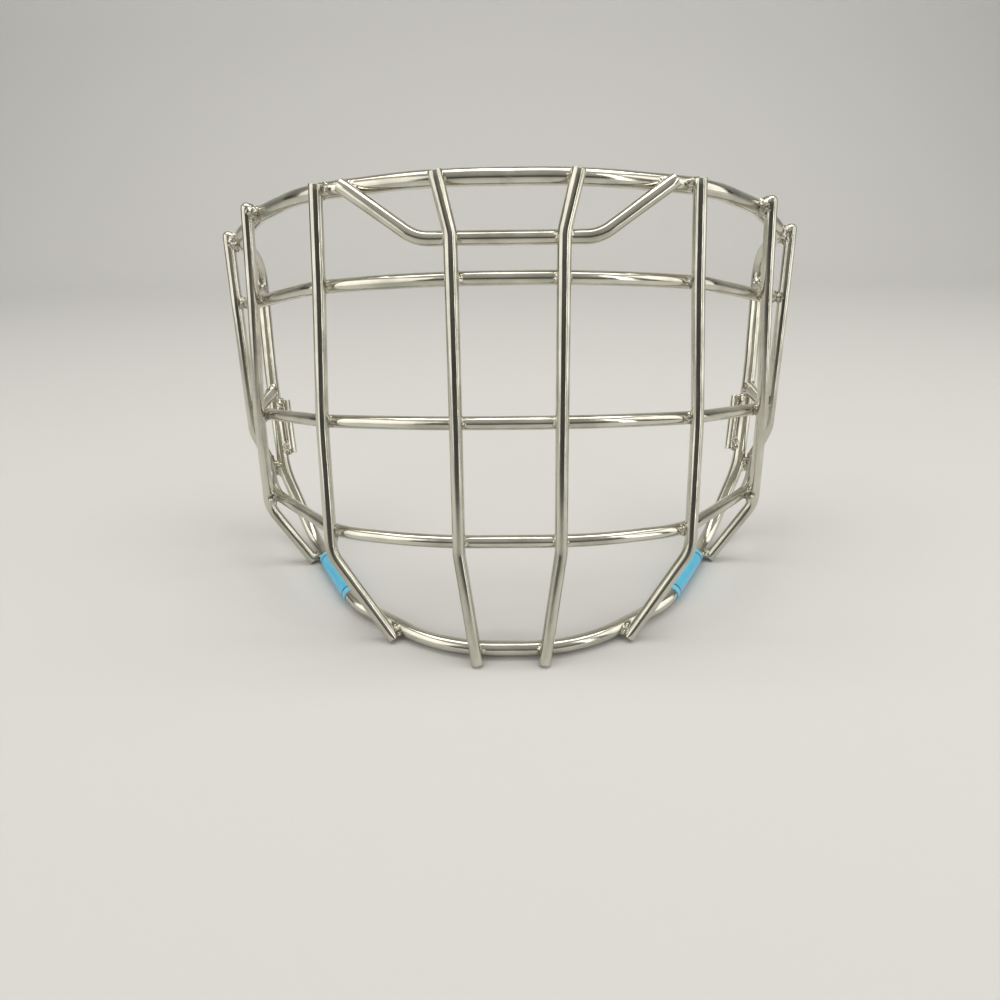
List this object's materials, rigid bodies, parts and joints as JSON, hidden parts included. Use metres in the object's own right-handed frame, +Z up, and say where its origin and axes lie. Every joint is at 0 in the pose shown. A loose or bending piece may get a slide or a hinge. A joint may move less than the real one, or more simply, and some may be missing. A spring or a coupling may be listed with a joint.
{
  "type": "hockey goalie cage",
  "caption": "Ice hockey goalie mask cage: round chromed wires bent into a closed perimeter, cross bars and uprights, welded where they cross, with a plain blue sleeve on each side of the chin.",
  "frame": {"origin": "on the floor under the middle of the cage's width and depth, the cage standing on its chin", "axes": "+X to the right seen from the front, +Y to the rear (towards the wearer), +Z up"},
  "size_m": [0.2462, 0.1478, 0.1699],
  "materials": {
    "chromed_wire": "bright nickel-chrome plating over drawn steel wire, lightly brushed along the wire",
    "plated_weld": "small weld fillets, plated over, slightly rough",
    "blue_sleeve": "thin blue plastic sleeve shrunk on the wire, bare of print"
  },
  "bodies": {
    "root": {"perimeter_frame": "chromed_wire", "brow_bar": "chromed_wire", "upper_cross_bar": "chromed_wire", "middle_cross_bar": "chromed_wire", "lower_cross_bar": "chromed_wire", "inner_bar_left": "chromed_wire", "inner_bar_right": "chromed_wire", "outer_bar_left": "chromed_wire", "outer_bar_right": "chromed_wire", "cheek_bar_left": "chromed_wire", "cheek_bar_right": "chromed_wire", "temple_bar_left": "chromed_wire", "temple_bar_right": "chromed_wire", "side_clip_wire_left": "chromed_wire", "side_clip_wire_right": "chromed_wire", "label_sleeve_left": "blue_sleeve", "label_sleeve_right": "blue_sleeve", "top_rim_welds": "plated_weld", "brow_bar_welds": "plated_weld", "upper_bar_welds": "plated_weld", "middle_bar_welds": "plated_weld", "lower_bar_welds": "plated_weld", "chin_rim_welds": "plated_weld", "temple_foot_welds": "plated_weld", "clip_wire_welds": "plated_weld"}
  },
  "joints": []
}
